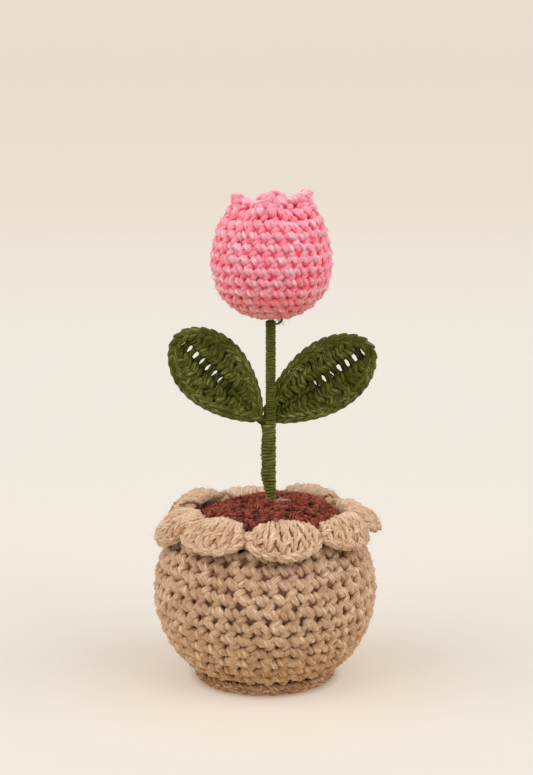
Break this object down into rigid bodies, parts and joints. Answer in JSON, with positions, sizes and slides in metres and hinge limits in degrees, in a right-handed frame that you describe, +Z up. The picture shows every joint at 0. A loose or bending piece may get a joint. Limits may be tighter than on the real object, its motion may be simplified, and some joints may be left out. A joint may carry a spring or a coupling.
{
  "type": "crocheted potted tulip",
  "caption": "Ornamental tulip of crocheted yarn: a closed flower head on a wired, yarn-wound stem with leaves, in a round stuffed crochet pot with a scalloped ruffle and a flat base.",
  "frame": {"origin": "middle of the underside of the base, on the surface that the pot stands on", "axes": "+Z up along the stem; the pictured front faces -Y and the right leaf points to +X"},
  "size_m": [0.0777, 0.0767, 0.1677],
  "materials": {
    "beige_yarn": "plied acrylic yarn in single crochet, soft sheen",
    "brown_yarn": "fuzzy reddish-brown crochet",
    "green_yarn": "olive-green yarn, matte with a soft sheen",
    "pink_yarn": "pink plied yarn in single crochet, soft sheen",
    "stuffing": "loose white polyester fibre",
    "wire": "plain drawn wire"
  },
  "bodies": {
    "root": {"pot_body": "beige_yarn", "pot_base": "beige_yarn", "pot_ruffle": "beige_yarn", "pot_stuffing": "stuffing", "soil": "brown_yarn", "stem_wrap": "green_yarn", "stem_wire": "wire", "leaf_wire_left": "wire", "leaf_wire_right": "wire", "leaf_left": "green_yarn", "leaf_right": "green_yarn", "flower_head": "pink_yarn", "flower_stuffing": "stuffing"}
  },
  "joints": []
}
